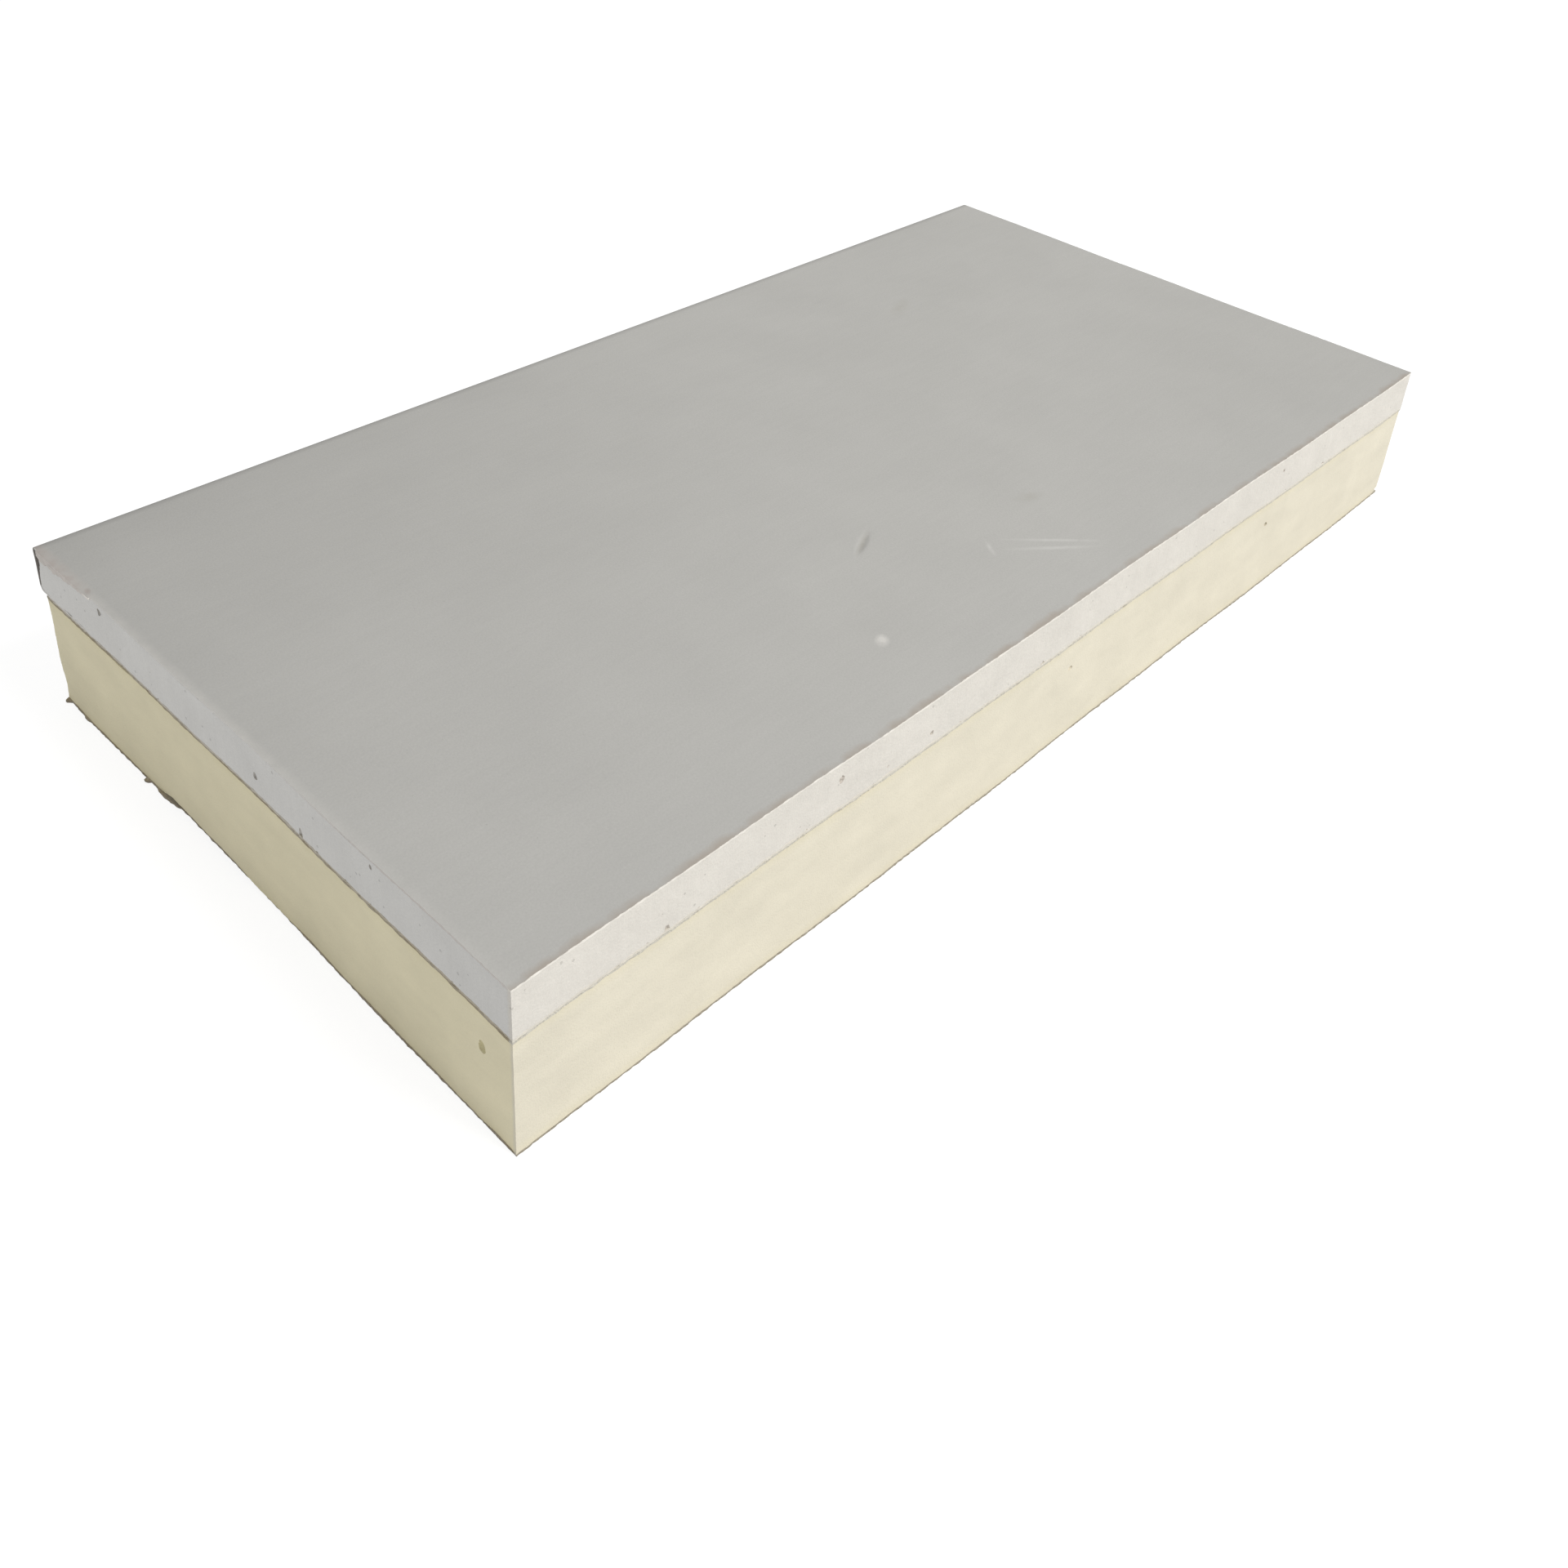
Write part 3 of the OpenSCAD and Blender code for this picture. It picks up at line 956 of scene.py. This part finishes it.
class MESH_OT_foam_core(bpy.types.Operator):
    """Foam: a sawn slab with a rough, bulging edge, dents and worn lower arrises"""

    bl_idname = "plasterboard.foam_core"
    bl_label = "Foam Core"

    def execute(self, context):
        own = sizes()
        edge_y = BOUND_Y - own.foam_inset
        materials = (sawn_foam(), torn_foam())
        piece = walls("foam_slab", FOAM_LOW, (FAR_X, edge_y, FOAM_HIGH.z), 1.25 * MM, materials)
        close_rim(piece, lambda middle: middle.z > FOAM_HIGH.z - 0.1 * MM)
        close_rim(piece, lambda middle: middle.z < FOAM_LOW.z + 0.1 * MM)
        choose(piece, "FACE", lambda middle, normal: abs(normal.z) < 0.5)
        bpy.ops.mesh.subdivide(number_cuts=1)
        bpy.ops.object.mode_set(mode="OBJECT")
        height = FOAM_HIGH.z - FOAM_LOW.z

        def bulge(co, sign):
            up = (co.z - FOAM_LOW.z) / height
            for (low, first), (high, last) in zip(FOAM_EDGE, FOAM_EDGE[1:]):
                if low <= up <= high:
                    out = first + (last - first) * ease(up, low, high)
                    return max(sign * out, 0) * near(co.y, edge_y, 5 * MM)
            return 0

        press(piece, own.foam_bulge, "Y", lambda co: bulge(co, 1))
        press(piece, -own.foam_bulge, "Y", lambda co: bulge(co, -1))
        wall = 0.9 * MM
        saw(piece, 0.6)
        at_bound = edge_y - 1.4 * MM
        roughen(piece, 0.5 * MM, 5 * MM, "Y", lambda co: co.y > at_bound and self.inner(co), 0.7)
        roughen(piece, 0.3 * MM, 1.2 * MM, "Y", lambda co: co.y > at_bound and self.inner(co), 0.7)
        roughen(piece, 0.5 * MM, 12 * MM, "Y", lambda co: co.y < SAWN_Y + wall, 0.2)
        roughen(piece, 0.08 * MM, 1 * MM, "Y", lambda co: co.y < SAWN_Y + wall, 0.3)
        roughen(piece, 0.5 * MM, 12 * MM, "X", lambda co: co.x < END_X + wall, 0.2)
        roughen(piece, 0.12 * MM, 1 * MM, "X", lambda co: co.x < END_X + wall, 0.3)
        roughen(piece, 0.5 * MM, 12 * MM, "X", lambda co: co.x > FAR_X - wall, 0.8)
        roughen(piece, 0.12 * MM, 1 * MM, "X", lambda co: co.x > FAR_X - wall, 0.7)
        press(piece, 1.4 * MM, "Z", self.worn)
        hollows = []
        for out, down, r in END_DENTS:
            hollows.append(((END_X + 0.2 * MM, SAWN_Y + out * MM, FACE_Z - down * MM), r * MM, 1.8))
        for out, down, r in SIDE_DENTS:
            hollows.append(((END_X + out * MM, SAWN_Y + 0.2 * MM, FACE_Z - down * MM), r * MM, 1))
        hollows.append(((FAR_X, SAWN_Y, FOAM_LOW.z - 0.4 * MM), 2 * MM, 1))
        hollow(piece, hollows, 0.5 * MM, 5)
        smooth(piece, 40)
        dress(piece, "foam_core")
        return {"FINISHED"}

    def inner(self, co):
        """1 away from the foam's level faces, so that the rough edge keeps its arrises."""
        edge = 1.5 * MM
        return ease(co.z, FOAM_LOW.z, FOAM_LOW.z + edge) * (1 - ease(co.z, FOAM_HIGH.z - edge, FOAM_HIGH.z))

    def worn(self, co):
        """1 on the worn part of the lower arris at the left end, where the facer is torn."""
        out = (BOUND_Y - co.y) / MM
        here = ease(out, 46, 52) * (1 - ease(out, 78, 88))
        return here * near(co.x, END_X, 2.5 * MM) * near(co.z, FOAM_LOW.z, 2.5 * MM)


class MESH_OT_back_facer(bpy.types.Operator):
    """Back facer: a coated sheet with flakes at its left end and a long shallow tear"""

    bl_idname = "plasterboard.back_facer"
    bl_label = "Back Facer"

    def execute(self, context):
        own = sizes()
        high = (FAR_X, BACK_FACER_HIGH.y, BACK_FACER_HIGH.z)
        materials = (glued_joint(), facer_edge(), coated_facer())
        piece = thin_sheet("back_facer_sheet", (END_X, SAWN_Y, 0), high, materials)
        saw(piece, 0.6)
        rim = 0.9 * MM

        def torn(co):
            if co.x > END_X + rim:
                return 0
            out = (BOUND_Y - co.y) / MM
            ragged = 0.85 + 0.15 * math.sin(out / 1.7) * math.sin(out / 0.6)
            first, length = TEAR
            return ease(out, first, first + 3) * (1 - ease(out, first + length / 3, first + length)) * ragged

        def flaked(co):
            if co.x > END_X + rim:
                return 0
            out = (BOUND_Y - co.y) / MM
            share = 0
            for first, width, reach in FLAKES:
                over = (out - first) / width
                if 0 <= over <= 1:
                    share = max(share, reach * min(1, 2.6 * (1 - over), 6 * over))
            return share

        press(piece, own.tear, "X", torn)
        press(piece, -own.flake, "X", flaked)
        fray(piece, 0.4 * MM, 1.3 * MM)
        dress(piece, "foam_back_facer")
        return {"FINISHED"}


def thin_sheet(name, low, high, materials):
    """A sheet with finely divided rims and its top at high."""
    piece = start(name, (low[0], low[1], high[2]), high, materials, flat=True)
    slice_along(piece, 0, 5 * MM)
    slice_along(piece, 1, 5 * MM)
    for wanted in (
        lambda middle, along: middle.x < END_X + 0.01 * MM,
        lambda middle, along: middle.x > FAR_X - 0.01 * MM,
        lambda middle, along: middle.y < SAWN_Y + 0.01 * MM,
    ):
        cut_edges(piece, 9, wanted)
    thicken(piece, high[2] - low[2], len(materials) - 1)
    return piece


class SCENE_OT_stage(bpy.types.Operator):
    """Stage: a pale floor, soft lamps and the camera"""

    bl_idname = "plasterboard.stage"
    bl_label = "Stage"

    def execute(self, context):
        scene = context.scene
        scene.view_settings.view_transform = "Standard"
        self.lay_floor()
        self.light_studio(scene)
        self.hang_lamp("key lamp", (0.5, -1.45, 1.75), 0.9, 35, (1, 0.99, 0.975))
        self.set_camera(scene)
        return {"FINISHED"}

    def lay_floor(self):
        rest_all()
        bpy.ops.mesh.primitive_plane_add(size=12)
        floor = bpy.context.object
        floor.name = "floor"
        # Matt white paint, brushed: white to the camera, with only a soft trace of the shadow
        material, tree = new_material("matt white studio paint")
        shader = tree.nodes["Principled BSDF"]
        camera_ray = add(tree, "LightPath").outputs["Is Camera Ray"]
        tint = mix(tree, camera_ray, (0.7, 0.7, 0.7), (0.25, 0.25, 0.25))
        tree.links.new(tint, shader.inputs["Base Color"])
        shader.inputs["Emission Color"].default_value = (1, 1, 1, 1)
        glow = add(tree, "Math", {0: camera_ray, 1: 0.84}, operation="MULTIPLY")
        tree.links.new(glow.outputs[0], shader.inputs["Emission Strength"])
        shader.inputs["Roughness"].default_value = 1
        shader.inputs["Specular IOR Level"].default_value = 0
        floor.data.materials.append(material)

    def light_studio(self, scene):
        world = scene.world or bpy.data.worlds.new("studio")
        scene.world = world
        world.use_nodes = True
        tree = world.node_tree
        background = tree.nodes["Background"]
        camera_ray = add(tree, "LightPath").outputs["Is Camera Ray"]
        strength = add(tree, "MapRange", {0: camera_ray, 3: 0.6, 4: 1.0})
        tree.links.new(strength.outputs[0], background.inputs["Strength"])
        background.inputs["Color"].default_value = (1, 1, 1, 1)

    def hang_lamp(self, name, spot, size, power, colour):
        rest_all()
        bpy.ops.object.light_add(type="AREA", location=spot)
        lamp = bpy.context.object
        lamp.name = name
        lamp.data.size = size
        lamp.data.energy = power
        lamp.data.color = colour
        toward = Vector((0, 0, 0.02)) - Vector(spot)
        lamp.rotation_euler = toward.to_track_quat("-Z", "Y").to_euler()

    def set_camera(self, scene):
        rest_all()
        bpy.ops.object.camera_add()
        camera = bpy.context.object
        camera.name = "camera"
        camera.data.sensor_width = 36
        camera.data.lens = CAMERA_FOCAL_PX * camera.data.sensor_width / FRAME_PX
        camera.data.shift_x = (FRAME_PX / 2 - CAMERA_CENTRE_PX[0]) / FRAME_PX
        camera.data.shift_y = (CAMERA_CENTRE_PX[1] - FRAME_PX / 2) / FRAME_PX
        camera.data.clip_start = 0.01
        heading = Matrix.Rotation(-math.radians(CAMERA_HEADING), 4, "Z")
        pitch = Matrix.Rotation(math.radians(90 - CAMERA_PITCH), 4, "X")
        roll = Matrix.Rotation(math.radians(CAMERA_ROLL), 4, "Z")
        camera.matrix_world = Matrix.Translation(CAMERA_PLACE) @ heading @ pitch @ roll
        scene.camera = camera


class VIEW3D_PT_plasterboard(bpy.types.Panel):
    """Lists the steps that build the piece, and its sizes and colours"""

    bl_idname = "VIEW3D_PT_plasterboard"
    bl_label = "Insulated Plasterboard"
    bl_space_type = "VIEW_3D"
    bl_region_type = "UI"
    bl_category = "Plasterboard"

    def draw(self, context):
        steps = self.layout.column(align=True)
        for step in STEPS:
            steps.operator(step.bl_idname)
        for group in (context.scene.plasterboard_sizes, context.scene.plasterboard_colours):
            settings = self.layout.column(align=True)
            for name in group.__annotations__:
                settings.prop(group, name)


STEPS = (
    SCENE_OT_stage,
    MESH_OT_face_paper,
    MESH_OT_gypsum_core,
    MESH_OT_back_paper,
    MESH_OT_top_facer,
    MESH_OT_foam_core,
    MESH_OT_back_facer,
)
CLASSES = (PlasterboardSizes, PlasterboardColours, *STEPS, VIEW3D_PT_plasterboard)


def register():
    for cls in CLASSES:
        bpy.utils.register_class(cls)
    bpy.types.Scene.plasterboard_sizes = bpy.props.PointerProperty(type=PlasterboardSizes)
    bpy.types.Scene.plasterboard_colours = bpy.props.PointerProperty(type=PlasterboardColours)


def unregister():
    del bpy.types.Scene.plasterboard_sizes
    del bpy.types.Scene.plasterboard_colours
    for cls in reversed(CLASSES):
        bpy.utils.unregister_class(cls)


def main():
    register()
    bpy.ops.plasterboard.stage()
    bpy.ops.plasterboard.face_paper()
    bpy.ops.plasterboard.gypsum_core()
    bpy.ops.plasterboard.back_paper()
    bpy.ops.plasterboard.top_facer()
    bpy.ops.plasterboard.foam_core()
    bpy.ops.plasterboard.back_facer()


if __name__ == "__main__":
    main()
